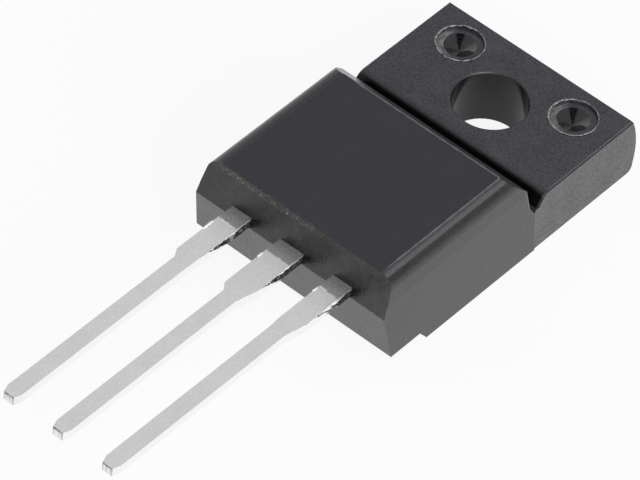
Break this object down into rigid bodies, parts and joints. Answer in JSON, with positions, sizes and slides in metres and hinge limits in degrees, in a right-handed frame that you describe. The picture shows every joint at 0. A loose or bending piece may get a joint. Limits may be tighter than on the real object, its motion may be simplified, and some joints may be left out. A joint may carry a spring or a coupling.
{
  "type": "silicon controlled rectifier",
  "caption": "Fully moulded, isolated rectifier package with a screw flange and flat tinned leads in one row, a chip on a heat spreader and bond wires inside.",
  "frame": {"origin": "axis of the screw hole where it meets the mounting base", "axes": "+Z from the mounting base up to the marking face, +Y towards the flange end; the leads run towards -Y, cathode on the -X side, anode in the middle, gate on the +X side"},
  "size_m": [0.0104, 0.0293, 0.0045],
  "materials": {
    "epoxy": "moulded epoxy, fine satin grain",
    "tinned_copper": "matt tin plate over copper",
    "solder": "dull solder",
    "silicon": "polished silicon with metal pads",
    "bond_wire": "drawn aluminium"
  },
  "bodies": {
    "root": {"moulded_body": "epoxy", "anode_lead_and_heat_spreader": "tinned_copper", "cathode_lead": "tinned_copper", "gate_lead": "tinned_copper", "chip_solder_layer": "solder", "silicon_chip": "silicon", "cathode_bond_wire": "bond_wire", "gate_bond_wire": "bond_wire"}
  },
  "joints": []
}
